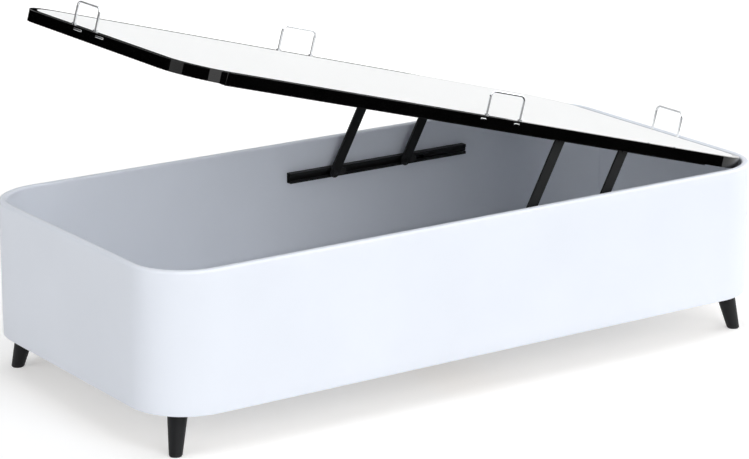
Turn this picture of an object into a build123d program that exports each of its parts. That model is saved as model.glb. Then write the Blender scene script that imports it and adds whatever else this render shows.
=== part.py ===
"""Storage bed base with a lift-up lid, a guided pair of arms each side and four splayed legs.

The rest position is the lid propped open. Origin: on the floor under the centre of the base.
+X runs toward the hinged head end, +Y across to the far side, +Z up. Units are millimetres.
"""

from build123d import *
import math
import os

# Base: outline, heights and wall build-up
OUTER_LENGTH = 1960.0
OUTER_WIDTH = 964.0
OUTER_CORNER = 160.0
BODY_HEIGHT = 371.0
LEG_HEIGHT = 112.0
COVER_SKIN = 2.0
BOARD_THICKNESS = 18.0
BOARD_EDGE_CHAMFER = 5.0
RIM_ROUND = 10.0

# Storage floor
CLEAT_SIZE = 22.0
CLEAT_END_MARGIN = 20.0
FLOOR_THICKNESS = 12.0
FLOOR_FIT = 0.5
FLOOR_JOINT = 1.0
BEAM_WIDTH = 60.0

# Legs
LEG_TOP_RADIUS = 27.0
LEG_TIP_RADIUS = 17.0
LEG_TOP_INSET_X = 89.0
LEG_TOP_INSET_Y = 83.5
LEG_SPLAY = 20.5
LEG_TRIM = 20.0
GLIDE_THICKNESS = 3.0
GLIDE_MARGIN = 1.5
LEG_BLOCK_SIZE = 84.0
BOLT_RADIUS = 4.0
LEG_BOLT_EMBED = 45.0
RUNNING_FIT = 0.05

# Lid
LID_ANGLE = 15.47
LID_THICKNESS = 31.0
HINGE_GAP = 6.0
FOOT_GAP = 15.5
LID_SIDE_GAP = 4.0
LID_CORNER = 136.0
BORDER_WIDTH = 20.0
BORDER_THICKNESS = 3.0
SKIRT_THICKNESS = 2.5
SKIRT_CHAMFER = 1.0
LID_BOARD_THICKNESS = 11.0
LID_BOARD_FIT = 0.4
PAD_FIT = 0.4
PAD_CROWN = 0.8
TUBE_SIZE = 25.0
TUBE_WALL = 1.5
SIDE_TUBE_LENGTH = 1600.0
SIDE_TUBE_INSET = 54.0
CROSS_TUBES = 5
CROSS_TUBE_PITCH = 375.0
LID_REST_SIZE = (30.0, 80.0, 30.0)
LID_REST_SPREAD = 250.0
REST_PAD_THICKNESS = 3.0
REST_PAD_MARGIN = 4.0
REST_CLEARANCE = 0.3

# Piano hinge along the head end
HINGE_END_MARGIN = 22.0
HINGE_DROP = 3.0
KNUCKLE_RADIUS = 2.6
HINGE_PIN_RADIUS = 1.2
KNUCKLE_COUNT = 15
KNUCKLE_GAP = 0.4
LEAF_THICKNESS = 1.2
LEAF_HEIGHT = 26.0

# Guide rails, sliders and arms, the same on both sides
RAIL_HEAD_INSET = 356.0
RAIL_END_MARGIN = 1.5
RAIL_HEIGHT = 29.0
RAIL_DEPTH = 20.0
RAIL_WALL = 2.0
RAIL_SLOT = 12.0
RAIL_CENTRE_ABOVE_BODY = 271.5
SLIDER_LENGTH = 24.0
SLIDER_FIT = 0.5
NECK_RADIUS = 5.0
SLIDER_LEAD = 33.0
TONGUE_WIDTH = 20.0
TONGUE_THICKNESS = 3.0
TONGUE_CLEARANCE = 0.5
TONGUE_TO_ARM = 0.4
LONG_ARM_REACH = 825.3
SHORT_ARM_REACH = 577.8
ARM_WIDTH = 30.0
ARM_THICKNESS = 6.0
ARM_LEAN = 28.2
PIVOT_DEPTH = 30.0
PIVOT_HEAD_RADIUS = 8.0
PIVOT_HEAD_THICKNESS = 4.0
SPACER_RADIUS = 8.0
SIDE_PLAY = 0.3

# Gas springs inside the rails
CYLINDER_RADIUS = 8.0
CYLINDER_LENGTH = 150.0
CYLINDER_BORE = 4.5
ROD_RADIUS = 4.0
ROD_GUIDE = 18.0

# Mattress retainers
RETAINER_ROD = 3.25
RETAINER_WIDTH = 118.0
RETAINER_BEND = 14.0
RETAINER_INSET = 12.0
RETAINER_PLACES = {"foot": 79.0, "head": -63.0, "near": 31.0, "far": -38.0}
RETAINER_HEIGHTS = {"foot": 64.0, "head": 74.0, "near": 68.0, "far": 75.0}
COLLAR_RADIUS = 6.5
COLLAR_HEIGHT = 4.0
COLLAR_SEAT = 0.05

WALL = BOARD_THICKNESS + 2 * COVER_SKIN
INNER_LENGTH = OUTER_LENGTH - 2 * WALL
INNER_WIDTH = OUTER_WIDTH - 2 * WALL
RIM_Z = LEG_HEIGHT + BODY_HEIGHT
FLOOR_TOP = LEG_HEIGHT + CLEAT_SIZE + FLOOR_THICKNESS
STRAIGHT_X = OUTER_LENGTH / 2 - OUTER_CORNER
STRAIGHT_Y = OUTER_WIDTH / 2 - OUTER_CORNER
LID_LENGTH = INNER_LENGTH - HINGE_GAP - FOOT_GAP
LID_X = (FOOT_GAP - HINGE_GAP) / 2
LID_WIDTH = INNER_WIDTH - 2 * LID_SIDE_GAP
BOARD_Z = RIM_Z - BORDER_THICKNESS - LID_BOARD_THICKNESS
HINGE_X = INNER_LENGTH / 2 - HINGE_GAP / 2
HINGE_LENGTH = 2 * (STRAIGHT_Y - HINGE_END_MARGIN)
HINGE_Z = RIM_Z - HINGE_DROP
RAIL_Z = LEG_HEIGHT + RAIL_CENTRE_ABOVE_BODY
RAIL_FACE_Y = INNER_WIDTH / 2 - RAIL_DEPTH
TONGUE_OUTER_Y = RAIL_FACE_Y - TONGUE_CLEARANCE
ARM_OUTER_Y = TONGUE_OUTER_Y - TONGUE_THICKNESS - TONGUE_TO_ARM
ARM_MID_Y = ARM_OUTER_Y - ARM_THICKNESS / 2
TUBE_MID_Y = LID_WIDTH / 2 - SIDE_TUBE_INSET - TUBE_SIZE / 2
TUBE_FACE_Y = TUBE_MID_Y + TUBE_SIZE / 2
TUBE_MID_Z = BOARD_Z - TUBE_SIZE / 2
PIVOT_Z = RIM_Z - PIVOT_DEPTH
SIDES = {"near": -1, "far": 1}
ARM_FEET = {"long": HINGE_X - LONG_ARM_REACH, "short": HINGE_X - SHORT_ARM_REACH}
RAIL_END_X = INNER_LENGTH / 2 - RAIL_HEAD_INSET


def box(x0, x1, y0, y1, z0, z1):
    """A box between two corners, whichever way round each pair is given."""
    size = (abs(x1 - x0), abs(y1 - y0), abs(z1 - z0))
    return Pos((x0 + x1) / 2, (y0 + y1) / 2, (z0 + z1) / 2) * Box(*size)


def slab(length, width, corner, z0, z1):
    """A flat plate with rounded corners."""
    return extrude(Pos(0, 0, z0) * RectangleRounded(length, width, corner), z1 - z0)


def ring(length, width, corner, wall, z0, z1):
    """An upright wall that follows a rounded rectangle."""
    inner = slab(length - 2 * wall, width - 2 * wall, corner - wall, z0, z1)
    return slab(length, width, corner, z0, z1) - inner


def top_edges(body):
    """The edges round the top of an upright wall."""
    return body.edges().group_by(Axis.Z)[-1]


def rod(start, end, radius):
    """A round bar between two points."""
    start, end = Vector(*start), Vector(*end)
    along = end - start
    return extrude(Plane(origin=start, z_dir=along) * Circle(radius), along.length)


def tube(start, end, radius, bore):
    """A round tube between two points."""
    return rod(start, end, radius) - rod(start, end, bore)


def split_ring(body, reach_x, reach_y, straight_x, straight_y, z0, z1):
    """Cuts a wall into two sides, two ends and four corners, each under its own name."""
    pieces = {}
    for side, sign in SIDES.items():
        cell = box(-straight_x, straight_x, 0, sign * reach_y, z0, z1)
        pieces[f"side_{side}"] = body & cell
    for end, sign in (("foot", -1), ("head", 1)):
        cell = box(0, sign * reach_x, -straight_y, straight_y, z0, z1)
        pieces[f"end_{end}"] = body & cell
        for side, across in SIDES.items():
            corner = box(sign * straight_x, sign * reach_x, across * straight_y, across * reach_y, z0, z1)
            pieces[f"corner_{end}_{side}"] = body & corner
    return pieces


def base_walls():
    """Side and end boards with bent corner forms, and the upholstery over them."""
    length, width = OUTER_LENGTH - 2 * COVER_SKIN, OUTER_WIDTH - 2 * COVER_SKIN
    top, corner = RIM_Z - COVER_SKIN, OUTER_CORNER - COVER_SKIN
    boards = ring(length, width, corner, BOARD_THICKNESS, LEG_HEIGHT, top)
    boards = chamfer(top_edges(boards), BOARD_EDGE_CHAMFER)
    cover = ring(OUTER_LENGTH, OUTER_WIDTH, OUTER_CORNER, WALL, LEG_HEIGHT, RIM_Z)
    cover = fillet(top_edges(cover), RIM_ROUND)
    below = slab(length - 2 * BOARD_THICKNESS, width - 2 * BOARD_THICKNESS, corner - BOARD_THICKNESS,
                 LEG_HEIGHT, FLOOR_TOP)
    cover = cover - boards - below
    pieces = split_ring(boards, OUTER_LENGTH, OUTER_WIDTH, STRAIGHT_X, STRAIGHT_Y, LEG_HEIGHT, RIM_Z)
    nodes = {f"base_{name}": piece for name, piece in pieces.items()}
    nodes["upholstery_cover"] = cover
    return nodes


def storage_floor():
    """Two floor boards on cleats and a centre beam."""
    half_x = OUTER_LENGTH / 2 - COVER_SKIN - BOARD_THICKNESS
    half_y = OUTER_WIDTH / 2 - COVER_SKIN - BOARD_THICKNESS
    corner = OUTER_CORNER - COVER_SKIN - BOARD_THICKNESS
    shelf = LEG_HEIGHT + CLEAT_SIZE
    plate = slab(2 * (half_x - FLOOR_FIT), 2 * (half_y - FLOOR_FIT), corner - FLOOR_FIT, shelf, FLOOR_TOP)
    foot = plate & box(-half_x, -FLOOR_JOINT / 2, -half_y, half_y, shelf, FLOOR_TOP)
    head = plate & box(FLOOR_JOINT / 2, half_x, -half_y, half_y, shelf, FLOOR_TOP)
    run_x, run_y = STRAIGHT_X - CLEAT_END_MARGIN, STRAIGHT_Y - CLEAT_END_MARGIN
    cleats = [box(-run_x, run_x, sign * (half_y - CLEAT_SIZE), sign * half_y, LEG_HEIGHT, shelf)
              for sign in SIDES.values()]
    cleats += [box(sign * (half_x - CLEAT_SIZE), sign * half_x, -run_y, run_y, LEG_HEIGHT, shelf)
               for sign in SIDES.values()]
    reach = half_y - CLEAT_SIZE
    beam = box(-BEAM_WIDTH / 2, BEAM_WIDTH / 2, -reach, reach, LEG_HEIGHT, shelf)
    return {"floor_board_foot": foot, "floor_board_head": head,
            "floor_cleats": Compound(children=cleats), "centre_beam": beam}


def leg_axis(end, side, z):
    """The point on a leg's leaning axis at a height."""
    drop = (LEG_HEIGHT - z) / LEG_HEIGHT
    x = OUTER_LENGTH / 2 - LEG_TOP_INSET_X + LEG_SPLAY * drop
    y = OUTER_WIDTH / 2 - LEG_TOP_INSET_Y + LEG_SPLAY * drop
    return (end * x, side * y, z)


def leg_radius(z):
    """A leg's radius at a height: it tapers evenly to its tip."""
    return LEG_TIP_RADIUS + (LEG_TOP_RADIUS - LEG_TIP_RADIUS) * z / LEG_HEIGHT


def tapered_leg(end, side):
    """A leaning cone, cut level at the glide and under the base."""
    low, high = leg_axis(end, side, -LEG_TRIM), leg_axis(end, side, LEG_HEIGHT + LEG_TRIM)
    along = Vector(*high) - Vector(*low)
    cone = Plane(origin=low, z_dir=along) * Cone(leg_radius(-LEG_TRIM), leg_radius(LEG_HEIGHT + LEG_TRIM),
                                                 along.length, align=(Align.CENTER, Align.CENTER, Align.MIN))
    return cone & box(-OUTER_LENGTH, OUTER_LENGTH, -OUTER_WIDTH, OUTER_WIDTH, GLIDE_THICKNESS, LEG_HEIGHT)


def legs():
    """Tapered legs that splay out at the corners, with blocks, bolts and glides."""
    nodes, blocks, bolts, glides = {}, [], [], []
    shelf = LEG_HEIGHT + CLEAT_SIZE
    inset = COVER_SKIN + BOARD_THICKNESS + FLOOR_FIT
    inside_walls = slab(OUTER_LENGTH - 2 * inset, OUTER_WIDTH - 2 * inset, OUTER_CORNER - inset,
                        LEG_HEIGHT, shelf)
    for end, along in (("foot", -1), ("head", 1)):
        for side, across in SIDES.items():
            low, high = leg_axis(along, across, GLIDE_THICKNESS), leg_axis(along, across, LEG_HEIGHT)
            inside, outside = (leg_axis(along, across, z) for z in (LEG_HEIGHT - LEG_BOLT_EMBED, shelf))
            bolt_hole = rod(inside, outside, BOLT_RADIUS + RUNNING_FIT)
            nodes[f"leg_{end}_{side}"] = tapered_leg(along, across) - bolt_hole
            middle = Pos(high[0], high[1], (LEG_HEIGHT + shelf) / 2)
            block = middle * Box(LEG_BLOCK_SIZE, LEG_BLOCK_SIZE, CLEAT_SIZE) & inside_walls
            blocks.append(block - bolt_hole)
            trim = box(-OUTER_LENGTH, OUTER_LENGTH, -OUTER_WIDTH, OUTER_WIDTH, 0, shelf)
            bolts.append(rod(inside, outside, BOLT_RADIUS) & trim)
            foot = Pos(low[0], low[1], 0)
            glides.append(foot * extrude(Circle(leg_radius(0) - GLIDE_MARGIN), GLIDE_THICKNESS))
    nodes["leg_blocks"] = Compound(children=blocks)
    nodes["leg_bolts"] = Compound(children=bolts)
    nodes["leg_glides"] = Compound(children=glides)
    return nodes


def open_lid(shape):
    """Sets a piece made about the lid's middle in place, and turns it open about the hinge pin."""
    return (Pos(LID_X, 0, 0) * shape).rotate(Axis((HINGE_X, 0, HINGE_Z), (0, 1, 0)), LID_ANGLE)


def opened(x, z):
    """Where a point of the closed lid stands once the lid is open."""
    turn = math.radians(LID_ANGLE)
    dx, dz = x - HINGE_X, z - HINGE_Z
    return (HINGE_X + dx * math.cos(turn) + dz * math.sin(turn),
            HINGE_Z - dx * math.sin(turn) + dz * math.cos(turn))


def arm_geometry(foot_x):
    """An arm's lid pivot in the closed lid, and its pivot-to-pivot length when open.

    The open arm leans from its foot at the rail's centre line, and its head is where the line
    reaches the lid's pivot depth.
    """
    lean, turn = math.radians(ARM_LEAN), math.radians(LID_ANGLE)
    dx, dz = foot_x - HINGE_X, RAIL_Z - HINGE_Z
    foot_depth = dx * math.sin(turn) + dz * math.cos(turn)
    rise = math.sin(lean) * math.sin(turn) + math.cos(lean) * math.cos(turn)
    length = (PIVOT_Z - HINGE_Z - foot_depth) / rise
    head_x, head_z = foot_x + length * math.sin(lean), RAIL_Z + length * math.cos(lean)
    ahead = (head_x - HINGE_X) * math.cos(turn) - (head_z - HINGE_Z) * math.sin(turn)
    return HINGE_X + ahead, length


def closed_foot(foot_x):
    """Where an arm's foot stands in its rail once the lid is closed."""
    pivot_x, length = arm_geometry(foot_x)
    return pivot_x - math.sqrt(length ** 2 - (PIVOT_Z - RAIL_Z) ** 2)


def lid_frame():
    """Side tubes that carry the arm pivots, cross tubes and the pivot hardware, lid closed."""
    nodes, bolts, spacers, bars = {}, [], [], []
    half, core = TUBE_SIZE / 2, TUBE_SIZE / 2 - TUBE_WALL
    for side, sign in SIDES.items():
        y = sign * TUBE_MID_Y
        reach = SIDE_TUBE_LENGTH / 2
        shell = box(-reach, reach, y - half, y + half, TUBE_MID_Z - half, TUBE_MID_Z + half)
        shell -= box(-reach, reach, y - core, y + core, TUBE_MID_Z - core, TUBE_MID_Z + core)
        for foot_x in ARM_FEET.values():
            x = arm_geometry(foot_x)[0] - LID_X
            inner_y, face_y = sign * (TUBE_FACE_Y - 2 * TUBE_WALL), sign * TUBE_FACE_Y
            head_y = sign * (ARM_OUTER_Y + SIDE_PLAY)
            cap_y = head_y + sign * PIVOT_HEAD_THICKNESS
            arm_y = sign * (ARM_OUTER_Y - ARM_THICKNESS - SIDE_PLAY)
            shell -= rod((x, inner_y, PIVOT_Z), (x, face_y, PIVOT_Z), BOLT_RADIUS + RUNNING_FIT)
            bolts.append(rod((x, inner_y, PIVOT_Z), (x, head_y, PIVOT_Z), BOLT_RADIUS)
                         + rod((x, head_y, PIVOT_Z), (x, cap_y, PIVOT_Z), PIVOT_HEAD_RADIUS))
            spacers.append(tube((x, face_y, PIVOT_Z), (x, arm_y, PIVOT_Z), SPACER_RADIUS,
                                BOLT_RADIUS + RUNNING_FIT))
        nodes[f"lid_tube_{side}"] = shell
    reach = TUBE_MID_Y - half
    for index in range(CROSS_TUBES):
        x = (index - (CROSS_TUBES - 1) / 2) * CROSS_TUBE_PITCH
        bar = box(x - half, x + half, -reach, reach, TUBE_MID_Z - half, TUBE_MID_Z + half)
        bar -= box(x - core, x + core, -reach, reach, TUBE_MID_Z - core, TUBE_MID_Z + core)
        bars.append(bar)
    nodes["lid_cross_tubes"] = Compound(children=bars)
    nodes["arm_pivot_bolts"] = Compound(children=bolts)
    nodes["arm_spacers"] = Compound(children=spacers)
    return nodes


def retainer_spots():
    """Each retainer's middle on the lid's border and the direction its bar runs."""
    across, along = LID_WIDTH / 2 - RETAINER_INSET, LID_LENGTH / 2 - RETAINER_INSET
    return {"foot": ((-along, RETAINER_PLACES["foot"]), (0, 1)),
            "head": ((along, RETAINER_PLACES["head"]), (0, 1)),
            "near": ((RETAINER_PLACES["near"], -across), (1, 0)),
            "far": ((RETAINER_PLACES["far"], across), (1, 0))}


def retainer_feet():
    """The two foot positions of every retainer, in the closed lid."""
    reach = RETAINER_WIDTH / 2 - RETAINER_ROD
    return [(x + sign * reach * run[0], y + sign * reach * run[1])
            for (x, y), run in retainer_spots().values() for sign in (-1, 1)]


def retainers():
    """Bent-wire bars that keep the mattress on the lid, and the collars at their feet."""
    nodes = {}
    reach = RETAINER_WIDTH / 2 - RETAINER_ROD
    for name, ((x, y), run) in retainer_spots().items():
        top = RIM_Z + RETAINER_HEIGHTS[name] - RETAINER_ROD
        corners = [(x + s * reach * run[0], y + s * reach * run[1], z)
                   for s, z in ((-1, BOARD_Z), (-1, top), (1, top), (1, BOARD_Z))]
        path = FilletPolyline(*corners, radius=RETAINER_BEND)
        start = Plane(origin=corners[0], z_dir=(0, 0, 1))
        nodes[f"retainer_{name}"] = sweep(start * Circle(RETAINER_ROD), path=path)
    seat = RIM_Z + COLLAR_SEAT
    collars = [tube((x, y, seat), (x, y, seat + COLLAR_HEIGHT), COLLAR_RADIUS, RETAINER_ROD + RUNNING_FIT)
               for x, y in retainer_feet()]
    nodes["retainer_collars"] = Compound(children=collars)
    return nodes


def lid_panel():
    """The lid's black edging in eight lengths, its board and its white padded top, lid closed."""
    skirt = ring(LID_LENGTH, LID_WIDTH, LID_CORNER, SKIRT_THICKNESS, RIM_Z - LID_THICKNESS, RIM_Z)
    border = ring(LID_LENGTH, LID_WIDTH, LID_CORNER, BORDER_WIDTH, RIM_Z - BORDER_THICKNESS, RIM_Z)
    edging = skirt + border
    edging = chamfer(top_edges(edging).filter_by(on_outline), SKIRT_CHAMFER)
    holes = [rod((x, y, BOARD_Z), (x, y, RIM_Z), RETAINER_ROD + RUNNING_FIT) for x, y in retainer_feet()]
    edging = edging - holes
    inset = SKIRT_THICKNESS + LID_BOARD_FIT
    board = slab(LID_LENGTH - 2 * inset, LID_WIDTH - 2 * inset, LID_CORNER - inset, BOARD_Z,
                 RIM_Z - BORDER_THICKNESS) - holes
    inset = BORDER_WIDTH + PAD_FIT
    pad = slab(LID_LENGTH - 2 * inset, LID_WIDTH - 2 * inset, LID_CORNER - inset,
               RIM_Z - BORDER_THICKNESS, RIM_Z + PAD_CROWN)
    pieces = split_ring(edging, LID_LENGTH, LID_WIDTH, LID_LENGTH / 2 - LID_CORNER,
                        LID_WIDTH / 2 - LID_CORNER, RIM_Z - LID_THICKNESS, RIM_Z)
    nodes = {f"lid_edging_{name}": piece for name, piece in pieces.items()}
    nodes["lid_board"] = board
    nodes["lid_pad"] = pad
    return nodes


def on_outline(edge):
    """Whether an edge of the edging's top lies on its outer outline."""
    middle = edge @ 0.5
    reach_x, reach_y = LID_LENGTH / 2 - abs(middle.X), LID_WIDTH / 2 - abs(middle.Y)
    if reach_x < LID_CORNER and reach_y < LID_CORNER:
        return math.hypot(LID_CORNER - reach_x, LID_CORNER - reach_y) > LID_CORNER - SKIRT_THICKNESS
    return min(reach_x, reach_y) < SKIRT_THICKNESS


def knuckles(turn):
    """Every other knuckle of the piano hinge, those that one leaf carries."""
    pitch = HINGE_LENGTH / KNUCKLE_COUNT
    start = -HINGE_LENGTH / 2
    spans = [(start + i * pitch + KNUCKLE_GAP / 2, start + (i + 1) * pitch - KNUCKLE_GAP / 2)
             for i in range(KNUCKLE_COUNT) if i % 2 == turn]
    return spans


def hinge_leaf(turn, face_x, outward, axis_x):
    """A leaf that lies on a face and reaches up to its own knuckles round the pin's axis."""
    low = HINGE_Z - KNUCKLE_RADIUS - LEAF_HEIGHT
    far_x = face_x + outward * LEAF_THICKNESS
    leaf = box(face_x, far_x, -HINGE_LENGTH / 2, HINGE_LENGTH / 2, low, HINGE_Z - KNUCKLE_RADIUS - KNUCKLE_GAP)
    for y0, y1 in knuckles(turn):
        leaf += box(face_x, far_x, y0, y1, HINGE_Z - KNUCKLE_RADIUS - KNUCKLE_GAP, HINGE_Z)
        leaf += rod((axis_x, y0, HINGE_Z), (axis_x, y1, HINGE_Z), KNUCKLE_RADIUS)
        leaf -= rod((axis_x, y0, HINGE_Z), (axis_x, y1, HINGE_Z), HINGE_PIN_RADIUS + RUNNING_FIT)
    return leaf


def rail(sign):
    """A lipped channel on the inner wall, its slot facing the middle of the bed."""
    wall_y, face_y = sign * INNER_WIDTH / 2, sign * RAIL_FACE_Y
    half = RAIL_HEIGHT / 2
    start_x = closed_foot(ARM_FEET["long"]) + SLIDER_LEAD - SLIDER_LENGTH / 2 - RAIL_END_MARGIN
    bar = box(start_x, RAIL_END_X, face_y, wall_y, RAIL_Z - half, RAIL_Z + half)
    bar -= box(start_x, RAIL_END_X, face_y + sign * RAIL_WALL, wall_y - sign * RAIL_WALL,
               RAIL_Z - half + RAIL_WALL, RAIL_Z + half - RAIL_WALL)
    bar -= box(start_x, RAIL_END_X, face_y, face_y + sign * RAIL_WALL,
               RAIL_Z - RAIL_SLOT / 2, RAIL_Z + RAIL_SLOT / 2)
    return bar


def slider(sign, foot_x):
    """A guide block in the rail, ahead of an arm's foot, with a neck through the slot and a tongue back to the foot."""
    x = foot_x + SLIDER_LEAD
    half_z = RAIL_HEIGHT / 2 - RAIL_WALL - SLIDER_FIT
    back_y = sign * (INNER_WIDTH / 2 - RAIL_WALL - SLIDER_FIT)
    front_y = sign * (RAIL_FACE_Y + RAIL_WALL + SLIDER_FIT)
    block = box(x - SLIDER_LENGTH / 2, x + SLIDER_LENGTH / 2, front_y, back_y, RAIL_Z - half_z, RAIL_Z + half_z)
    middle = (foot_x + SLIDER_LEAD / 2, sign * (TONGUE_OUTER_Y - TONGUE_THICKNESS / 2), RAIL_Z)
    profile = Plane(origin=middle, x_dir=(1, 0, 0), z_dir=(0, 1, 0)) * SlotCenterToCenter(SLIDER_LEAD, TONGUE_WIDTH)
    tongue = extrude(profile, TONGUE_THICKNESS / 2, both=True)
    neck = rod((x, front_y, RAIL_Z), (x, sign * TONGUE_OUTER_Y, RAIL_Z), NECK_RADIUS)
    return block + neck + tongue


def arm(sign, foot_x):
    """A flat bar with round ends, from its pivot bolt on the lid to its slider."""
    pivot_x = arm_geometry(foot_x)[0]
    head_x, head_z = opened(pivot_x, PIVOT_Z)
    foot, head = Vector(foot_x, 0, RAIL_Z), Vector(head_x, 0, head_z)
    middle = Vector((foot.X + head.X) / 2, sign * ARM_MID_Y, (foot.Z + head.Z) / 2)
    flat = Plane(origin=middle, x_dir=head - foot, z_dir=(0, 1, 0))
    profile = flat * SlotCenterToCenter((head - foot).length, ARM_WIDTH)
    bar = extrude(profile, ARM_THICKNESS / 2, both=True)
    for centre in (foot, head):
        bar -= rod((centre.X, sign * (ARM_MID_Y - ARM_THICKNESS), centre.Z),
                   (centre.X, sign * (ARM_MID_Y + ARM_THICKNESS), centre.Z), BOLT_RADIUS + RUNNING_FIT)
    return bar


def gas_spring(sign):
    """A cylinder at the rail's head end and the rod that pulls the short arm's slider."""
    y = sign * (INNER_WIDTH / 2 - RAIL_DEPTH / 2)
    start = (RAIL_END_X - CYLINDER_LENGTH, y, RAIL_Z)
    cylinder = rod(start, (RAIL_END_X, y, RAIL_Z), CYLINDER_RADIUS)
    cylinder -= rod(start, (RAIL_END_X - CYLINDER_RADIUS, y, RAIL_Z), CYLINDER_BORE)
    foot_x = ARM_FEET["short"]
    inside = foot_x - closed_foot(foot_x) + ROD_GUIDE
    puller = rod((foot_x + SLIDER_LEAD + SLIDER_LENGTH / 2, y, RAIL_Z), (start[0] + inside, y, RAIL_Z), ROD_RADIUS)
    return cylinder, puller


def mechanism():
    """Rails, sliders, arms and gas springs of both sides, lid open."""
    nodes = {}
    for side, sign in SIDES.items():
        nodes[f"rail_{side}"] = rail(sign)
        nodes[f"gas_cylinder_{side}"], nodes[f"gas_rod_{side}"] = gas_spring(sign)
        for name, foot_x in ARM_FEET.items():
            nodes[f"{name}_slider_{side}"] = slider(sign, foot_x)
            nodes[f"{name}_arm_{side}"] = arm(sign, foot_x)
    return nodes


def lid_rests():
    """Blocks inside the foot board with rubber pads, where the closed lid's edge comes down."""
    depth, width, height = LID_REST_SIZE
    top = RIM_Z - LID_THICKNESS - REST_CLEARANCE - REST_PAD_THICKNESS
    wall_x = -INNER_LENGTH / 2
    blocks, pads = [], []
    for sign in SIDES.values():
        y0, y1 = sign * LID_REST_SPREAD - width / 2, sign * LID_REST_SPREAD + width / 2
        blocks.append(box(wall_x, wall_x + depth, y0, y1, top - height, top))
        pads.append(box(wall_x + REST_PAD_MARGIN, wall_x + depth - REST_PAD_MARGIN, y0 + REST_PAD_MARGIN,
                        y1 - REST_PAD_MARGIN, top, top + REST_PAD_THICKNESS))
    return {"lid_rest_blocks": Compound(children=blocks), "lid_rest_pads": Compound(children=pads)}


def build():
    """Every node of the part at rest, by name."""
    nodes = base_walls() | storage_floor() | legs() | lid_rests() | mechanism()
    closed = lid_frame() | retainers() | lid_panel()
    closed["hinge_leaf_lid"] = hinge_leaf(1, LID_LENGTH / 2, 1, HINGE_X - LID_X)
    nodes |= {name: open_lid(piece) for name, piece in closed.items()}
    nodes["hinge_leaf_base"] = hinge_leaf(0, INNER_LENGTH / 2, -1, HINGE_X)
    nodes["hinge_pin"] = rod((HINGE_X, -HINGE_LENGTH / 2, HINGE_Z), (HINGE_X, HINGE_LENGTH / 2, HINGE_Z),
                             HINGE_PIN_RADIUS)
    return nodes


def main():
    os.makedirs("parts", exist_ok=True)
    for name, piece in build().items():
        export_step(piece, f"parts/{name}.step")
    for name, foot_x in ARM_FEET.items():
        pivot_x, length = arm_geometry(foot_x)
        head_x, head_z = opened(pivot_x, PIVOT_Z)
        print(f"{name} arm: length {length:.4f}, lid pivot at x {head_x:.4f} z {head_z:.4f} when open,",
              f"foot at x {foot_x:.4f} open and {closed_foot(foot_x):.4f} closed")


main()
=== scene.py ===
import math

import bmesh
import bpy
from mathutils import Matrix, Vector, noise


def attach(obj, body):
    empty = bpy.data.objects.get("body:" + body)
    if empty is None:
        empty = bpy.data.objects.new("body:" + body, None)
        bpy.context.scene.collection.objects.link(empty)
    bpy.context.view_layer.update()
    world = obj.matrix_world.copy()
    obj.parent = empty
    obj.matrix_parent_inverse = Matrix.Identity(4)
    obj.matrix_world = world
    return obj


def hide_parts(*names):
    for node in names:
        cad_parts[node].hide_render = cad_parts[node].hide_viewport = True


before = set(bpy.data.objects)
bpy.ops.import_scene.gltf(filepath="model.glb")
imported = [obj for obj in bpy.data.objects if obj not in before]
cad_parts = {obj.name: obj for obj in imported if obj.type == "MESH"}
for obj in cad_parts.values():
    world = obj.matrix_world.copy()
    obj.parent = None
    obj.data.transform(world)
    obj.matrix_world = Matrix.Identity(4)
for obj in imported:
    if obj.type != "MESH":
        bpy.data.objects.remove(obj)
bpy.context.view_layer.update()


# The photograph's viewpoint: a long lens a little over the height of the raised lid, looking at
# the near side and the foot end.
MM = 0.001
camera_data = bpy.data.cameras.new("long_lens")
camera_data.sensor_width = 36
camera_data.lens = 136.38
camera = bpy.data.objects.new("photo_camera", camera_data)
bpy.context.scene.collection.objects.link(camera)
camera.location = (-4.2327, -6.1306, 2.4659)
camera.rotation_euler = Vector((0.5438, 0.7929, -0.2749)).to_track_quat("-Z", "Y").to_euler()
bpy.context.scene.camera = camera


# Wall boards: eight lengths of 18 mm chipboard, four of them bent corner forms, glued and hidden
# under the upholstery. Pressed wood chips in resin: pale flakes of several browns, dry and matt.
def linear(code):
    """The linear colour of an sRGB hex code."""
    parts = [int(code[i:i + 2], 16) / 255 for i in (1, 3, 5)]
    return tuple(p / 12.92 if p <= 0.04045 else ((p + 0.055) / 1.055) ** 2.4 for p in parts) + (1,)


def add(tree, kind, inputs=None, **settings):
    """Adds a node with its settings, its values and its links."""
    made = tree.nodes.new(kind)
    for key, value in settings.items():
        setattr(made, key, value)
    for key, value in (inputs or {}).items():
        if isinstance(value, bpy.types.NodeSocket):
            tree.links.new(value, made.inputs[key])
        else:
            made.inputs[key].default_value = value
    return made


def finish(name, **values):
    """A new material's node tree and shader, with the numbers that are the same all over it."""
    made = bpy.data.materials.new(name)
    made.use_nodes = True
    shader = made.node_tree.nodes["Principled BSDF"]
    for key, value in values.items():
        shader.inputs[key.replace("_", " ")].default_value = value
    return made, made.node_tree, shader


def blend_colours(tree, factor, dark, light, low=0.3, high=0.7):
    """A ramp from one colour to another over a pattern's values."""
    ramp = add(tree, "ShaderNodeValToRGB", {"Fac": factor})
    ramp.color_ramp.elements[0].position, ramp.color_ramp.elements[1].position = low, high
    ramp.color_ramp.elements[0].color, ramp.color_ramp.elements[1].color = linear(dark), linear(light)
    return ramp.outputs["Color"]


def dress(material, *starts):
    """Gives a finish to the CAD nodes whose names start so."""
    for name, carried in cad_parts.items():
        if name.startswith(starts):
            for place in carried.material_slots:
                place.material = material


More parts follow.
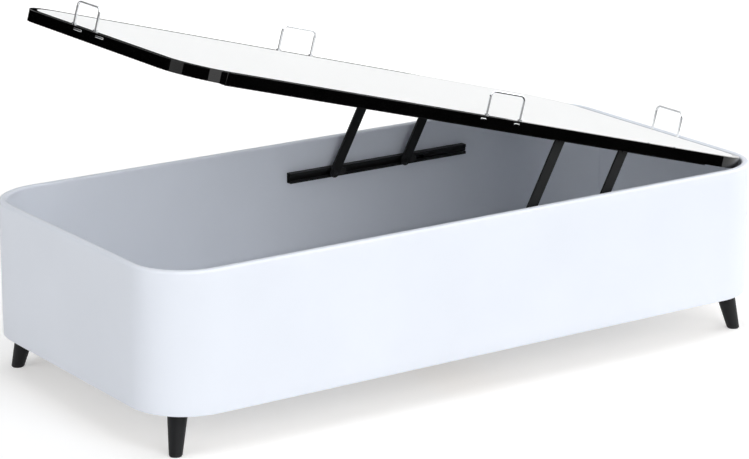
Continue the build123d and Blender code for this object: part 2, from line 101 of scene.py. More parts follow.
chipboard, tree, shader = finish("chipboard", Roughness=0.85)
spot = add(tree, "ShaderNodeTexCoord").outputs["Object"]
flakes = add(tree, "ShaderNodeTexVoronoi", {"Vector": spot, "Scale": 1 / (5 * MM), "Randomness": 1.0})
dust = add(tree, "ShaderNodeTexNoise", {"Vector": spot, "Scale": 1 / (1.5 * MM), "Detail": 3.0})
mixed = add(tree, "ShaderNodeMath", {0: flakes.outputs["Color"], 1: dust.outputs["Fac"]}, operation="MULTIPLY")
tree.links.new(blend_colours(tree, mixed.outputs[0], "#8C6A42", "#D8BE93", 0.1, 0.6), shader.inputs["Base Color"])
bumps = add(tree, "ShaderNodeBump", {"Height": dust.outputs["Fac"], "Strength": 0.3, "Distance": 0.3 * MM})
tree.links.new(bumps.outputs[0], shader.inputs["Normal"])
dress(chipboard, "base_side", "base_end", "base_corner")


# Storage floor: two 12 mm boards with a white melamine face, laid loose on the cleats. Melamine
# is a smooth paper film in resin: white, half matt, with a faint pebble pressed into it.
melamine, tree, shader = finish("white_melamine", Roughness=0.38)
spot = add(tree, "ShaderNodeTexCoord").outputs["Object"]
cloud = add(tree, "ShaderNodeTexNoise", {"Vector": spot, "Scale": 1 / (180 * MM), "Detail": 2.0})
pebble = add(tree, "ShaderNodeTexNoise", {"Vector": spot, "Scale": 1 / (2.5 * MM), "Detail": 1.0})
tree.links.new(blend_colours(tree, cloud.outputs["Fac"], "#F2F4F7", "#FAFBFD"), shader.inputs["Base Color"])
bumps = add(tree, "ShaderNodeBump", {"Height": pebble.outputs["Fac"], "Strength": 0.15, "Distance": 0.1 * MM})
tree.links.new(bumps.outputs[0], shader.inputs["Normal"])
dress(melamine, "floor_board", "lid_board")


# Cleats, centre beam, leg blocks and lid rests: planed pine battens, screwed and glued. Softwood
# keeps its long grain: narrow darker lines that run along each batten.
pine, tree, shader = finish("planed_pine", Roughness=0.6)
spot = add(tree, "ShaderNodeTexCoord").outputs["Object"]
drawn_out = add(tree, "ShaderNodeMapping", {"Vector": spot, "Scale": (0.08, 1.0, 1.0)})
grain = add(tree, "ShaderNodeTexNoise", {"Vector": drawn_out.outputs[0], "Scale": 1 / (6 * MM), "Detail": 4.0,
                                         "Distortion": 0.6})
tree.links.new(blend_colours(tree, grain.outputs["Fac"], "#B98D57", "#E3C79A"), shader.inputs["Base Color"])
bumps = add(tree, "ShaderNodeBump", {"Height": grain.outputs["Fac"], "Strength": 0.3, "Distance": 0.3 * MM})
tree.links.new(bumps.outputs[0], shader.inputs["Normal"])
dress(pine, "floor_cleats", "centre_beam", "leg_blocks", "lid_rest_blocks")


# Base cover: one strip of white polyurethane-coated cloth over thin foam. It runs up the outside,
# over the rim and down the inside to the floor, turns under the boards and is stapled there.
LENGTH, WIDTH, CORNER, WALL = 1960, 964, 160, 22
FLOOR_TOP, BODY_FOOT, RIM = 146, 112, 483
RIM_SOFTNESS, SKIN, TURN_UNDER, SEAM_Y = 7.5, 1.95, 20, 250


def outline(length, width, corner, step, seams=()):
    """Stations round a rounded rectangle, each a point and its outward normal, in mm."""
    half_x, half_y = length / 2 - corner, width / 2 - corner
    stations = []
    for turn, (x, y) in enumerate(((half_x, -half_y), (half_x, half_y), (-half_x, half_y), (-half_x, -half_y))):
        for i in range(25):
            angle = math.radians(90 * turn - 90 + 3.75 * i)
            normal = Vector((math.cos(angle), math.sin(angle)))
            stations.append((Vector((x, y)) + corner * normal, normal))
        run = 2 * (half_y if turn % 2 == 0 else half_x)
        along = Vector((-normal.y, normal.x))
        marks = {run * i / round(run / step) for i in range(1, round(run / step))}
        if turn == 0:
            marks |= {half_y + y + shift for y in seams for shift in (-6, -3, -1.5, -0.7, 0, 0.7, 1.5, 3, 6)}
        start = stations[-1][0]
        stations += [(start + along * mark, normal) for mark in sorted(marks)]
    return stations


def arc(centre_d, centre_z, radius, start, end, count=8):
    """Points of a rounded profile corner, in degrees, as distance inwards and height."""
    turns = [math.radians(start + (end - start) * i / count) for i in range(count + 1)]
    return [(centre_d - radius * math.cos(t), centre_z + radius * math.sin(t)) for t in turns]


def mesh_piece(name, points, faces, material, smooth=True):
    """A plain mesh from points in mm, in the part's frame."""
    mesh = bpy.data.meshes.new(name)
    mesh.from_pydata([tuple(c * MM for c in p) for p in points], [], faces)
    mesh.materials.append(material)
    mesh.polygons.foreach_set("use_smooth", [smooth] * len(mesh.polygons))
    made = bpy.data.objects.new(name, mesh)
    bpy.context.scene.collection.objects.link(made)
    return made


def sweep(stations, profile):
    """A closed profile carried round a closed outline: its points and faces."""
    points = [(*(p - n * d), z) for p, n in stations for d, z in profile]
    rows, total = len(profile), len(stations)
    faces = [(i * rows + j, ((i + 1) % total) * rows + j, ((i + 1) % total) * rows + (j + 1) % rows,
              i * rows + (j + 1) % rows) for i in range(total) for j in range(rows)]
    return points, faces


def climb(d, low, high, step=30):
    """Rows up a straight wall of the profile, its ends left out."""
    count = max(2, round(abs(high - low) / step))
    return [(d, low + (high - low) * i / count) for i in range(1, count)]


faux_leather, tree, shader = finish("white_coated_cloth", Roughness=0.46, Sheen_Weight=0.06)
spot = add(tree, "ShaderNodeTexCoord").outputs["Object"]
cloud = add(tree, "ShaderNodeTexNoise", {"Vector": spot, "Scale": 1 / (260 * MM), "Detail": 2.0})
pebble = add(tree, "ShaderNodeTexVoronoi", {"Vector": spot, "Scale": 1 / (2.2 * MM)}, feature="SMOOTH_F1")
creases = add(tree, "ShaderNodeTexNoise", {"Vector": spot, "Scale": 1 / (9 * MM), "Detail": 3.0})
tree.links.new(blend_colours(tree, cloud.outputs["Fac"], "#E7ECF5", "#EAEFF8"), shader.inputs["Base Color"])
depth = add(tree, "ShaderNodeMath", {0: pebble.outputs["Distance"], 1: creases.outputs["Fac"]}, operation="ADD")
bumps = add(tree, "ShaderNodeBump", {"Height": depth.outputs[0], "Strength": 0.10, "Distance": 0.15 * MM})
tree.links.new(bumps.outputs[0], shader.inputs["Normal"])

outside = [(TURN_UNDER, BODY_FOOT - 1.2), (TURN_UNDER / 2, BODY_FOOT - 1.2)]
outside += arc(3, BODY_FOOT + 1.8, 3, -90, 0, 5)
outside += climb(0, BODY_FOOT + 2, RIM - RIM_SOFTNESS)
outside += arc(RIM_SOFTNESS, RIM - RIM_SOFTNESS, RIM_SOFTNESS, 0, 90)
outside += arc(WALL - RIM_SOFTNESS, RIM - RIM_SOFTNESS, RIM_SOFTNESS, 90, 180)
outside += climb(WALL, RIM - RIM_SOFTNESS, FLOOR_TOP)
outside.append((WALL, FLOOR_TOP + 0.2))
round_in = RIM_SOFTNESS - SKIN
inside = [(WALL - SKIN, FLOOR_TOP + 0.2)] + climb(WALL - SKIN, FLOOR_TOP, RIM - RIM_SOFTNESS, 120)
inside += arc(WALL - RIM_SOFTNESS, RIM - RIM_SOFTNESS, round_in, 180, 90, 4)
inside += arc(RIM_SOFTNESS, RIM - RIM_SOFTNESS, round_in, 90, 0, 4)
inside += climb(SKIN, RIM - RIM_SOFTNESS, BODY_FOOT, 120) + [(SKIN, BODY_FOOT - 0.05), (TURN_UNDER, BODY_FOOT - 0.05)]
stations = outline(LENGTH, WIDTH, CORNER, 40, seams=(SEAM_Y,))
points, faces = sweep(stations, outside + inside)
rows = len(outside) + len(inside)
for index, (x, y, z) in enumerate(points):
    (base, normal), row = stations[index // rows], index % rows
    if row < len(outside) and z > BODY_FOOT + 4:
        lift = 0.5 * noise.noise(Vector((x, y, z)) / 190)
        if x > 0 and abs(normal.y) < 0.01 and z < RIM - 1:
            gap = abs(base.y - SEAM_Y)
            lift += 0.5 * math.exp(-((gap - 3) / 1.6) ** 2) - 1.4 * math.exp(-(gap / 1.0) ** 2)
        side = 1 if outside[row][0] < WALL / 2 else -1
        points[index] = (x + side * lift * normal.x, y + side * lift * normal.y, z)
base_cover = mesh_piece("base_cover", points, faces, faux_leather)
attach(base_cover, "base")
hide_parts("upholstery_cover")


# Legs: four tapered beech legs turned on a lathe, stained and lacquered black. The lacquer is
# satin and the grain shows faintly along each leg.
black_lacquer, tree, shader = finish("black_lacquered_beech", Roughness=0.5, Specular_IOR_Level=0.25)
spot = add(tree, "ShaderNodeTexCoord").outputs["Object"]
drawn_out = add(tree, "ShaderNodeMapping", {"Vector": spot, "Scale": (1.0, 1.0, 0.06)})
grain = add(tree, "ShaderNodeTexNoise", {"Vector": drawn_out.outputs[0], "Scale": 1 / (2.5 * MM), "Detail": 3.0})
tree.links.new(blend_colours(tree, grain.outputs["Fac"], "#0B0C0E", "#121316"), shader.inputs["Base Color"])
bumps = add(tree, "ShaderNodeBump", {"Height": grain.outputs["Fac"], "Strength": 0.2, "Distance": 0.15 * MM})
tree.links.new(bumps.outputs[0], shader.inputs["Normal"])
dress(black_lacquer, "leg_foot", "leg_head")


# Leg glides: discs of moulded polyethylene nailed under the legs. Waxy dark grey plastic with a
# fine spark-eroded texture.
glide_plastic, tree, shader = finish("moulded_polyethylene", Roughness=0.5)
spot = add(tree, "ShaderNodeTexCoord").outputs["Object"]
spark = add(tree, "ShaderNodeTexNoise", {"Vector": spot, "Scale": 1 / (0.8 * MM), "Detail": 1.0})
tree.links.new(blend_colours(tree, spark.outputs["Fac"], "#2C2D2F", "#37383A"), shader.inputs["Base Color"])
bumps = add(tree, "ShaderNodeBump", {"Height": spark.outputs["Fac"], "Strength": 0.3, "Distance": 0.1 * MM})
tree.links.new(bumps.outputs[0], shader.inputs["Normal"])
dress(glide_plastic, "leg_glides")


# Bolts, pins and hinge: mild steel, zinc plated and passivated. A soft bluish metal with a
# cloudy, slightly uneven polish.
zinc, tree, shader = finish("zinc_plated_steel", Metallic=1.0)
spot = add(tree, "ShaderNodeTexCoord").outputs["Object"]
cloud = add(tree, "ShaderNodeTexNoise", {"Vector": spot, "Scale": 1 / (4 * MM), "Detail": 3.0})
tree.links.new(blend_colours(tree, cloud.outputs["Fac"], "#AEB3BA", "#C9CDD3"), shader.inputs["Base Color"])
polish = add(tree, "ShaderNodeMapRange", {"Value": cloud.outputs["Fac"], "To Min": 0.22, "To Max": 0.36})
tree.links.new(polish.outputs[0], shader.inputs["Roughness"])
dress(zinc, "leg_bolts", "hinge_")


# Lid rests' pads: 3 mm squares of black rubber, glued on. Dull and slightly mottled.
rubber, tree, shader = finish("black_rubber", Roughness=0.85)
spot = add(tree, "ShaderNodeTexCoord").outputs["Object"]
mottle = add(tree, "ShaderNodeTexNoise", {"Vector": spot, "Scale": 1 / (3 * MM), "Detail": 4.0})
tree.links.new(blend_colours(tree, mottle.outputs["Fac"], "#161616", "#232323"), shader.inputs["Base Color"])
dress(rubber, "lid_rest_pads")


# Rails, arms, gas cylinders and lid frame: bent and welded steel, powder coated black. The baked
# powder is satin with a fine orange-peel skin, drawn here a little coarser than it is.
powder_coat, tree, shader = finish("black_powder_coat", Roughness=0.5, Specular_IOR_Level=0.3)
spot = add(tree, "ShaderNodeTexCoord").outputs["Object"]
peel = add(tree, "ShaderNodeTexNoise", {"Vector": spot, "Scale": 1 / (1.6 * MM), "Detail": 2.0})
tree.links.new(blend_colours(tree, peel.outputs["Fac"], "#08090A", "#0D0E10"), shader.inputs["Base Color"])
bumps = add(tree, "ShaderNodeBump", {"Height": peel.outputs["Fac"], "Strength": 0.25, "Distance": 0.1 * MM})
tree.links.new(bumps.outputs[0], shader.inputs["Normal"])
dress(powder_coat, "rail_", "long_arm", "short_arm", "gas_cylinder", "lid_tube", "lid_cross", "arm_spacers",
      "arm_pivot_bolts")


# Sliders: blocks of moulded black nylon that run in the rails. Plain matt plastic.
nylon, tree, shader = finish("black_nylon", Roughness=0.55)
spot = add(tree, "ShaderNodeTexCoord").outputs["Object"]
spark = add(tree, "ShaderNodeTexNoise", {"Vector": spot, "Scale": 1 / (0.8 * MM), "Detail": 1.0})
tree.links.new(blend_colours(tree, spark.outputs["Fac"], "#0D0D0E", "#151516"), shader.inputs["Base Color"])
bumps = add(tree, "ShaderNodeBump", {"Height": spark.outputs["Fac"], "Strength": 0.3, "Distance": 0.1 * MM})
tree.links.new(bumps.outputs[0], shader.inputs["Normal"])
dress(nylon, "long_slider", "short_slider")


# Gas spring rods: ground steel, nitrided black, so hard and smooth that they shine like dark glass.
nitrided, tree, shader = finish("nitrided_steel", Metallic=1.0)
spot = add(tree, "ShaderNodeTexCoord").outputs["Object"]
ground = add(tree, "ShaderNodeTexNoise", {"Vector": spot, "Scale": 1 / (2 * MM), "Detail": 2.0})
tree.links.new(blend_colours(tree, ground.outputs["Fac"], "#141416", "#1B1B1E"), shader.inputs["Base Color"])
polish = add(tree, "ShaderNodeMapRange", {"Value": ground.outputs["Fac"], "To Min": 0.2, "To Max": 0.3})
tree.links.new(polish.outputs[0], shader.inputs["Roughness"])
dress(nitrided, "gas_rod")


# Staples: zinc-plated wire staples hold the cover's turned-under edge to the boards, one every
# 40 mm all round. They lie flat, pressed a little into the cloth.
def bar(name, path, radius, sides=6):
    """A thin bar along a short path, closed at both ends."""
    made, rings = bmesh.new(), []
    for i, point in enumerate(path):
        here = Vector(point)
        run = (Vector(path[min(i + 1, len(path) - 1)]) - Vector(path[max(i - 1, 0)])).normalized()
        side = Vector((0, 1, 0))
        up = run.cross(side).normalized()
        turns = [math.tau * k / sides for k in range(sides)]
        rings.append([made.verts.new((here + radius * (math.cos(t) * side + math.sin(t) * up)) * MM) for t in turns])
    return skinned(name, made, rings)


def skinned(name, made, rings):
    """Skins rings of points, each as long as the next, and closes both ends."""
    sides = len(rings[0])
    for low, high in zip(rings, rings[1:]):
        for k in range(sides):
            made.faces.new((low[k], low[(k + 1) % sides], high[(k + 1) % sides], high[k]))
    made.faces.new(reversed(rings[0]))
    made.faces.new(rings[-1])
    return as_object(name, made)


def as_object(name, made):
    """A small part's mesh, its faces turned outwards, as an object of its own."""
    bmesh.ops.recalc_face_normals(made, faces=made.faces)
    mesh = bpy.data.meshes.new(name)
    made.to_mesh(mesh)
    made.free()
    mesh.polygons.foreach_set("use_smooth", [True] * len(mesh.polygons))
    return bpy.data.objects.new(name, mesh)


def fixings(name, lines, head, material, body, spacing=None, wobble=0.0):
    """Copies of a small part along lines, or at their points, as one plain mesh on a body.

    Each line is its points, the way the surface faces there, and whether it closes on itself.
    """
    points, edges, facing, running = [], [], [], []
    for line, outward, closed in lines:
        first = len(points)
        points += [Vector(p) * MM for p in line]
        facing += [Vector(outward)] * len(line)
        for i in range(len(line)):
            ahead, back = line[min(i + 1, len(line) - 1)], line[max(i - 1, 0)]
            running.append(Vector(ahead) - Vector(back) if len(line) > 1 else Vector(outward).orthogonal())
        count = len(line) if closed else len(line) - 1
        edges += [(first + i, first + (i + 1) % len(line)) for i in range(count)]
    guide = bpy.data.meshes.new(name + "_guide")
    guide.from_pydata(points, edges if spacing else [], [])
    for key, values in (("facing", facing), ("running", running)):
        layer = guide.attributes.new(key, "FLOAT_VECTOR", "POINT")
        layer.data.foreach_set("vector", [c for v in values for c in v])
    tree = bpy.data.node_groups.new(name, "GeometryNodeTree")
    sockets = {}
    for label, kind in (("Guide", "Geometry"), ("Part", "Object"), ("Spacing", "Float"), ("Wobble", "Float"),
                        ("Seed", "Int"), ("Finish", "Material")):
        sockets[label] = tree.interface.new_socket(name=label, in_out="INPUT", socket_type="NodeSocket" + kind)
    tree.interface.new_socket(name="Geometry", in_out="OUTPUT", socket_type="NodeSocketGeometry")
    given = add(tree, "NodeGroupInput").outputs
    spots = given["Guide"]
    if spacing:
        curve = add(tree, "GeometryNodeMeshToCurve", {0: spots})
        spots = add(tree, "GeometryNodeResampleCurve", {"Curve": curve.outputs[0], "Length": given["Spacing"]},
                    mode="LENGTH").outputs[0]
    out = add(tree, "GeometryNodeInputNamedAttribute", {"Name": "facing"}, data_type="FLOAT_VECTOR")
    run = add(tree, "GeometryNodeInputNamedAttribute", {"Name": "running"}, data_type="FLOAT_VECTOR")
    upright = add(tree, "FunctionNodeAlignRotationToVector", {"Vector": out.outputs[0]}, axis="Z")
    aligned = add(tree, "FunctionNodeAlignRotationToVector",
                  {"Rotation": upright.outputs[0], "Vector": run.outputs[0]}, axis="X", pivot_axis="Z")
    least = add(tree, "ShaderNodeMath", {0: given["Wobble"], 1: -1.0}, operation="MULTIPLY")
    chance = add(tree, "FunctionNodeRandomValue",
                 {"Min": least.outputs[0], "Max": given["Wobble"], "Seed": given["Seed"]}, data_type="FLOAT")
    spin = add(tree, "FunctionNodeAxisAngleToRotation", {"Angle": chance.outputs["Value"]})
    turned_part = add(tree, "FunctionNodeRotateRotation", {0: aligned.outputs[0], 1: spin.outputs[0]},
                      rotation_space="LOCAL")
    part = add(tree, "GeometryNodeObjectInfo", {"Object": given["Part"]})
    copies = add(tree, "GeometryNodeInstanceOnPoints",
                 {"Points": spots, "Instance": part.outputs["Geometry"], "Rotation": turned_part.outputs[0]})
    real = add(tree, "GeometryNodeRealizeInstances", {0: copies.outputs[0]})
    finished = add(tree, "GeometryNodeSetMaterial", {"Geometry": real.outputs[0], "Material": given["Finish"]})
    add(tree, "NodeGroupOutput", {0: finished.outputs[0]})
    holder = bpy.data.objects.new(name + "_guide", guide)
    bpy.context.scene.collection.objects.link(holder)
    maker = holder.modifiers.new("fixings", "NODES")
    maker.node_group = tree
    for label, value in (("Part", head), ("Spacing", (spacing or 0) * MM), ("Wobble", wobble), ("Seed", 7),
                         ("Finish", material)):
        maker[sockets[label].identifier] = value
    bpy.context.view_layer.update()
    placed = holder.evaluated_get(bpy.context.evaluated_depsgraph_get())
    mesh = bpy.data.meshes.new_from_object(placed)
    mesh.name = name
    if not mesh.materials:
        mesh.materials.append(material)
    holder.modifiers.clear()
    bpy.data.objects.remove(holder)
    made = bpy.data.objects.new(name, mesh)
    bpy.context.scene.collection.objects.link(made)
    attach(made, body)
    return made


def ring_line(inset, z):
    """A closed line round the base, so far in from its outside."""
    around = outline(LENGTH - 2 * inset, WIDTH - 2 * inset, CORNER - inset, 60)
    return [(p.x, p.y, z) for p, n in around]


STAPLE_CROWN, STAPLE_WIRE = 10, 0.6
half = STAPLE_CROWN / 2
staple = bar("staple", [(-half, 0, -2), (-half, 0, -0.2), (-half + 0.6, 0, 0.35), (half - 0.6, 0, 0.35),
                        (half, 0, -0.2), (half, 0, -2)], STAPLE_WIRE)
fixings("cover_staples", [(ring_line(13, BODY_FOOT - 1.2), (0, 0, -1), True)], staple, zinc, "base",
        spacing=40, wobble=0.12)


# Back seam: the cover's strip is joined on the head end's outside with a topstitched seam, two
# rows of white bonded polyester thread at about six stitches to the inch.
thread, tree, shader = finish("bonded_polyester_thread", Roughness=0.5, Sheen_Weight=0.2)
spot = add(tree, "ShaderNodeTexCoord").outputs["Object"]
twist = add(tree, "ShaderNodeTexWave", {"Vector": spot, "Scale": math.tau / 20 / (0.8 * MM)},
            bands_direction="DIAGONAL")
tree.links.new(blend_colours(tree, twist.outputs["Fac"], "#DDE1E8", "#F2F5FA"), shader.inputs["Base Color"])
STITCH, STITCH_PITCH, STITCH_ROWS = 3.2, 4.2, 4.5
stitch = bar("stitch", [(-STITCH / 2, 0, -0.5), (-STITCH / 2 + 0.4, 0, 0.1), (0, 0, 0.3), (STITCH / 2 - 0.4, 0, 0.1),
                        (STITCH / 2, 0, -0.5)], 0.4, sides=5)
rows_of_stitches = [([(LENGTH / 2 + 0.5, SEAM_Y + side * STITCH_ROWS, z) for z in range(120, 477, 4)], (1, 0, 0), False)
                    for side in (-1, 1)]
fixings("back_seam_stitches", rows_of_stitches, stitch, thread, "base", spacing=STITCH_PITCH,
        wobble=0.08)


# Wood screws: zinc-plated, cross-slotted and countersunk. They hold the storage floor to its
# cleats and both leaves of the hinge.
def screw_head(name, radius, proud, slot_depth):
    """A low screw head with a cross pressed into it."""
    made, sides = bmesh.new(), 16
    centre = made.verts.new((0, 0, (proud - slot_depth) * MM))
    rings = []
    for share, height in ((0.3, proud), (0.62, proud), (0.9, proud * 0.75), (1.0, 0.0)):
        ring_points = []
        for k in range(sides):
            t, z = math.tau * k / sides, height - (slot_depth if k % 4 == 0 and share < 0.7 else 0)
            spoke = share * radius
            ring_points.append(made.verts.new(Vector((spoke * math.cos(t), spoke * math.sin(t), z)) * MM))
        rings.append(ring_points)
    for k in range(sides):
        made.faces.new((centre, rings[0][k], rings[0][(k + 1) % sides]))
        for low, high in zip(rings, rings[1:]):
            made.faces.new((low[k], high[k], high[(k + 1) % sides], low[(k + 1) % sides]))
    made.faces.new(rings[-1])
    return as_object(name, made)


wood_screw = screw_head("wood_screw", 3.6, 0.6, 0.9)
fixings("floor_screws", [(ring_line(31, FLOOR_TOP), (0, 0, 1), True)], wood_screw, zinc, "base",
        spacing=150, wobble=1.5)
leaf_screw = screw_head("leaf_screw", 3.0, 0.5, 0.8)
LEAF_Z, LEAF_FACE = 464.4, 956.8
fixings("base_leaf_screws", [([(LEAF_FACE, y, LEAF_Z) for y in range(-270, 271, 60)], (-1, 0, 0), False)], leaf_screw,
        zinc, "base", spacing=60, wobble=1.5)


# Rail fixings: black countersunk screws through the back of each rail into the side board, seen
# through the slot. They sit flush so that the sliders clear them.
rail_screw = screw_head("rail_screw", 4.2, 0.3, 0.7)
RAIL_Z, RAIL_BACK = 383.5, 458
rail_lines = [([(x, side * RAIL_BACK, RAIL_Z) for x in range(20, 421, 100)], (0, -side, 0), False) for side in (-1, 1)]
fixings("rail_screws", rail_lines, rail_screw, powder_coat, "base", spacing=100, wobble=1.5)


# Arm rivets: each arm turns at its foot on a domed steel rivet, powder coated with the arm.
def dome(name, radius, height):
    """A domed rivet head on a thin collar."""
    made, sides = bmesh.new(), 20
    profile = [(radius, 0.0), (radius, height * 0.25)]
    profile += [(radius * math.cos(t), height * (0.25 + 0.75 * math.sin(t))) for t in (0.35, 0.75, 1.1, 1.35)]
    rings = [[made.verts.new(Vector((r * math.cos(math.tau * k / sides), r * math.sin(math.tau * k / sides), z)) * MM)
              for k in range(sides)] for r, z in profile]
    return skinned(name, made, rings)


rivet = dome("rivet", 8, 3)
ARM_INNER_Y, ARM_FEET = 430.1, {"long": 129.7, "short": 377.2}
for side, across in (("near", -1), ("far", 1)):
    for arm, foot_x in ARM_FEET.items():
        fixings(f"{arm}_arm_rivet_{side}", [([(foot_x, across * ARM_INNER_Y, RAIL_Z)], (0, -across, 0), False)],
                rivet, powder_coat, f"{arm}_arm_{side}")


# Lid edging: eight lengths of extruded black PVC angle pressed over the board's edge. It comes
# off the die as smooth as glass, with a very slight waviness.
edging, tree, shader = finish("gloss_black_pvc", Roughness=0.025)
spot = add(tree, "ShaderNodeTexCoord").outputs["Object"]
wave = add(tree, "ShaderNodeTexNoise", {"Vector": spot, "Scale": 1 / (60 * MM), "Detail": 1.0})
tree.links.new(blend_colours(tree, wave.outputs["Fac"], "#030303", "#050505"), shader.inputs["Base Color"])
bumps = add(tree, "ShaderNodeBump", {"Height": wave.outputs["Fac"], "Strength": 0.05, "Distance": 0.2 * MM})
tree.links.new(bumps.outputs[0], shader.inputs["Normal"])
dress(edging, "lid_edging")


# Mattress retainers and their collars: bent steel rod, polished and chromium plated. A near
# mirror, with a trace of handling haze.
chrome, tree, shader = finish("polished_chrome", Metallic=1.0)
spot = add(tree, "ShaderNodeTexCoord").outputs["Object"]
haze = add(tree, "ShaderNodeTexNoise", {"Vector": spot, "Scale": 1 / (25 * MM), "Detail": 2.0})
tree.links.new(blend_colours(tree, haze.outputs["Fac"], "#DDDFE2", "#E9EBED"), shader.inputs["Base Color"])
polish = add(tree, "ShaderNodeMapRange", {"Value": haze.outputs["Fac"], "To Min": 0.03, "To Max": 0.10})
tree.links.new(polish.outputs[0], shader.inputs["Roughness"])
dress(chrome, "retainer")


# Lid top: white woven polyester stretched over 3 mm foam and tucked down behind the edging's
# lip. Plain weave, bright and matt, its threads drawn at 2.4 mm, some four times their real size.
LID_LENGTH, LID_WIDTH, LID_CORNER, LIP = 1894.5, 912, 136, 20.4
LID_MIDDLE, HINGE_X, HINGE_Z, OPEN = 4.75, 955, 480, 15.47
THREAD = 2.4 * MM
at_hinge = Matrix.Translation(Vector((HINGE_X, 0, HINGE_Z)))
raise_lid = at_hinge @ Matrix.Rotation(math.radians(OPEN), 4, "Y") @ at_hinge.inverted()

woven, tree, shader = finish("white_woven_polyester", Roughness=0.8, Sheen_Weight=0.25, Sheen_Roughness=0.4)
weave_map = add(tree, "ShaderNodeUVMap", uv_map="weave").outputs[0]
warp = add(tree, "ShaderNodeTexWave", {"Vector": weave_map, "Scale": math.tau / 20 / THREAD, "Distortion": 0.4,
                                       "Detail Scale": 3.0}, bands_direction="X")
weft = add(tree, "ShaderNodeTexWave", {"Vector": weave_map, "Scale": math.tau / 20 / THREAD, "Distortion": 0.4,
                                       "Detail Scale": 3.0}, bands_direction="Y")
threads = add(tree, "ShaderNodeMath", {0: warp.outputs["Fac"], 1: weft.outputs["Fac"]}, operation="MAXIMUM")
tree.links.new(blend_colours(tree, threads.outputs[0], "#FAFEFF", "#FFFFFF", 0.2, 0.8), shader.inputs["Base Color"])
bumps = add(tree, "ShaderNodeBump", {"Height": threads.outputs[0], "Strength": 0.2, "Distance": 0.2 * MM})
tree.links.new(bumps.outputs[0], shader.inputs["Normal"])

length, width, corner = LID_LENGTH - 2 * LIP, LID_WIDTH - 2 * LIP, LID_CORNER - LIP
stations = outline(length, width, corner, 60)
crown = [(0.0, -2.95), (0.0, -0.4), (0.15, -0.1), (0.5, 0.05), (1.2, 0.15), (3, 0.25), (12, 0.5), (40, 0.7), (100, 0.8)]
points = [(*(p - n * d), RIM + z) for p, n in stations for d, z in crown]
rows, total = len(crown), len(stations)
faces = [(i * rows + j, ((i + 1) % total) * rows + j, ((i + 1) % total) * rows + j + 1, i * rows + j + 1)
         for i in range(total) for j in range(rows - 1)]
faces.append([i * rows + rows - 1 for i in range(total)])
faces.append([i * rows for i in reversed(range(total))])
flat = [(x * MM, y * MM) for x, y, z in points]
points = [raise_lid @ Vector((x + LID_MIDDLE, y, z)) for x, y, z in points]
lid_top = mesh_piece("lid_top", points, faces, woven)
weave_layer = lid_top.data.uv_layers.new(name="weave")
for loop in lid_top.data.loops:
    weave_layer.data[loop.index].uv = flat[loop.vertex_index]
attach(lid_top, "lid")
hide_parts("lid_pad")


# Retainer clips: small oval chrome plates let into the edging by each retainer's legs, which
# lock the bent wires in the board. Pressed strip, slightly domed.
def clip(name, length, width, height):
    """A domed plate with round ends, lying along X."""
    made, sides = bmesh.new(), 10
    shape = [(s, math.pi * (k / sides - 0.5)) for s in (1, -1) for k in range(sides + 1)]
    rings = []
    for share, z in ((1.0, 0.0), (1.0, height * 0.4), (0.8, height * 0.85), (0.4, height)):
        reach = (length - width) / 2
        rings.append([made.verts.new(Vector((s * (reach + share * width / 2 * math.cos(t)),
                                             s * share * width / 2 * math.sin(t), z)) * MM) for s, t in shape])
    return skinned(name, made, rings)


def on_open_lid(line, outward, closed=False):
    """A line of the closed lid, turned open with it."""
    facing = raise_lid.to_3x3() @ Vector(outward)
    return [tuple(raise_lid @ Vector(p)) for p in line], tuple(facing), closed


short_clip, long_clip = clip("short_clip", 18, 5, 1.2), clip("long_clip", 40, 5, 1.2)
RETAINER_REACH, CLIP_DROP = 55.75, 9
for side, across, middle, shift in (("near", -1, 31, -16.6), ("far", 1, -38, -16.6)):
    pair = on_open_lid([(LID_MIDDLE + middle + shift + leg * RETAINER_REACH, across * LID_WIDTH / 2, RIM - CLIP_DROP)
                        for leg in (-1, 1)], (0, across, 0))
    fixings(f"retainer_clips_{side}", [pair], short_clip, chrome, "lid")
foot_face = LID_MIDDLE - LID_LENGTH / 2
pair = on_open_lid([(foot_face, 79 - 45 + leg * RETAINER_REACH, RIM - CLIP_DROP) for leg in (-1, 1)], (-1, 0, 0))
fixings("retainer_clips_foot", [pair], long_clip, chrome, "lid")
hinge_line = on_open_lid([(953.2, y, LEAF_Z) for y in range(-240, 241, 60)], (1, 0, 0))
fixings("lid_leaf_screws", [hinge_line], leaf_screw, zinc, "lid", spacing=60, wobble=1.5)


# Studio: a white floor and an even white surround, with four broad soft lamps: one from the front,
# one from each end and a weaker one overhead.
studio = bpy.context.scene
studio.view_settings.view_transform = "Standard"
world = bpy.data.worlds.new("white_surround")
world.use_nodes = True
studio.world = world
tree = world.node_tree


def seen_directly(tree):
    """1 for rays from the camera, from gloss or through glass, else 0."""
    seen = add(tree, "ShaderNodeLightPath").outputs
    either = add(tree, "ShaderNodeMath", {0: seen["Is Camera Ray"], 1: seen["Is Glossy Ray"]}, operation="MAXIMUM")
    return add(tree, "ShaderNodeMath", {0: either.outputs[0], 1: seen["Is Transmission Ray"]},
               operation="MAXIMUM").outputs[0]


level = add(tree, "ShaderNodeMapRange", {"Value": seen_directly(tree), "To Min": 0.06, "To Max": 1.0})
tree.links.new(level.outputs[0], tree.nodes["Background"].inputs["Strength"])
tree.nodes["Background"].inputs["Color"].default_value = (1, 1, 1, 1)

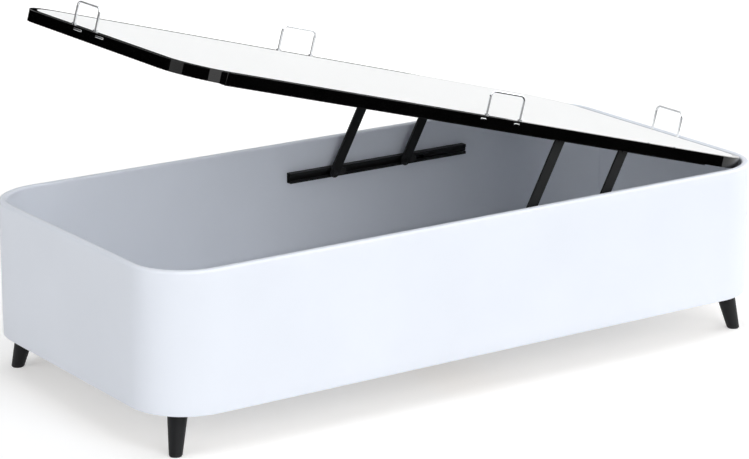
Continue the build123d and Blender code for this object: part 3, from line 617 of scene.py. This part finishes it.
paper, tree, shader = finish("white_paper_floor", Roughness=0.9, Base_Color=linear("#E6E6E6"))
shader.inputs["Specular IOR Level"].default_value = 0.0
PAPER_GLOW = 0.4
lift = add(tree, "ShaderNodeMath", {0: seen_directly(tree), 1: PAPER_GLOW}, operation="MULTIPLY")
tree.links.new(lift.outputs[0], shader.inputs["Emission Strength"])
shader.inputs["Emission Color"].default_value = (1, 1, 1, 1)
reach = 60000
floor = mesh_piece("floor", [(-reach, -reach, 0), (reach, -reach, 0), (reach, reach, 0), (-reach, reach, 0)],
                   [(0, 1, 2, 3)], paper, smooth=False)

for name, towards, strength, spread in (("front", (0, 1, -0.4), 1.72, 50), ("foot_side", (1, 0.1, -0.45), 1.05, 60),
                                        ("head_side", (-1, 0.2, -0.6), 1.45, 60), ("overhead", (0, 0.1, -1), 0.85, 60)):
    lamp = bpy.data.lights.new(name, "SUN")
    lamp.energy, lamp.angle = strength, math.radians(spread)
    holder = bpy.data.objects.new(name, lamp)
    holder.rotation_euler = Vector(towards).to_track_quat("-Z", "Y").to_euler()
    studio.collection.objects.link(holder)


# Black flags and two lit cards, seen only in gloss: a low dark wall behind, a high one round the
# foot end and a dark sheet in front darken the edging, and the cards give its two grey patches.
# Overhead and towards the head end the white surround stays open, so the chrome shows it.
black_cloth, tree, shader = finish("black_flag_cloth", Roughness=1.0, Base_Color=(0, 0, 0, 1))
shader.inputs["Specular IOR Level"].default_value = 0.0
WALL_DISTANCE, SHEET_REACH, SHEET_START, SHEET_Z, PANEL = 7000, 6900, 600, 2, 5


def towards_angle(degrees, distance):
    """A point on the floor in a direction and at a distance from the centre."""
    return distance * math.cos(math.radians(degrees)), distance * math.sin(math.radians(degrees))


shapes = []
for first_angle, last_angle, top in ((30, 105, 1500), (105, 275, 4500)):
    for angle in range(first_angle, last_angle, PANEL):
        (x, y), (u, v) = (towards_angle(t, WALL_DISTANCE) for t in (angle, angle + PANEL))
        shapes.append([(x, y, 0), (u, v, 0), (u, v, top), (x, y, top)])
sector = [-135 + 95 * k / 12 for k in range(13)]
near_edge = [towards_angle(t, SHEET_START) for t in sector]
shapes.append([(x, y * 0.02 - WIDTH / 2, SHEET_Z) for x, y in near_edge]
              + [(*towards_angle(t, SHEET_REACH), SHEET_Z) for t in reversed(sector)])
points = [p for shape in shapes for p in shape]
faces, first = [], 0
for shape in shapes:
    faces.append(tuple(range(first, first + len(shape))))
    first += len(shape)
flags = [mesh_piece("black_flags", points, faces, black_cloth, smooth=False)]
LID_CORNER_POINT = Vector((-900, -400, 900))
CARD_DISTANCE, CARD_BELOW, CARD_ABOVE = 4000, -800, 900
for name, azimuth, spread, rise, strength in (("foot_card", 172.5, 33, 10, 0.6), ("front_card", -102, 24, -2, 1.35)):
    lit, tree, shader = finish(name, Base_Color=(0, 0, 0, 1), Emission_Color=(1, 1, 1, 1), Emission_Strength=strength)
    way = Matrix.Rotation(math.radians(azimuth), 3, "Z") @ Vector((1, 0, math.tan(math.radians(rise))))
    across, middle = Vector((-way.y, way.x, 0)).normalized(), LID_CORNER_POINT + CARD_DISTANCE * way
    half = CARD_DISTANCE * math.tan(math.radians(spread / 2))
    corners = [middle + s * half * across + Vector((0, 0, h))
               for s, h in ((-1, CARD_BELOW), (1, CARD_BELOW), (1, CARD_ABOVE), (-1, CARD_ABOVE))]
    flags.append(mesh_piece(name, [tuple(c) for c in corners], [(0, 1, 2, 3)], lit, smooth=False))
for flag in flags:
    flag.visible_camera = flag.visible_diffuse = flag.visible_shadow = flag.visible_transmission = False
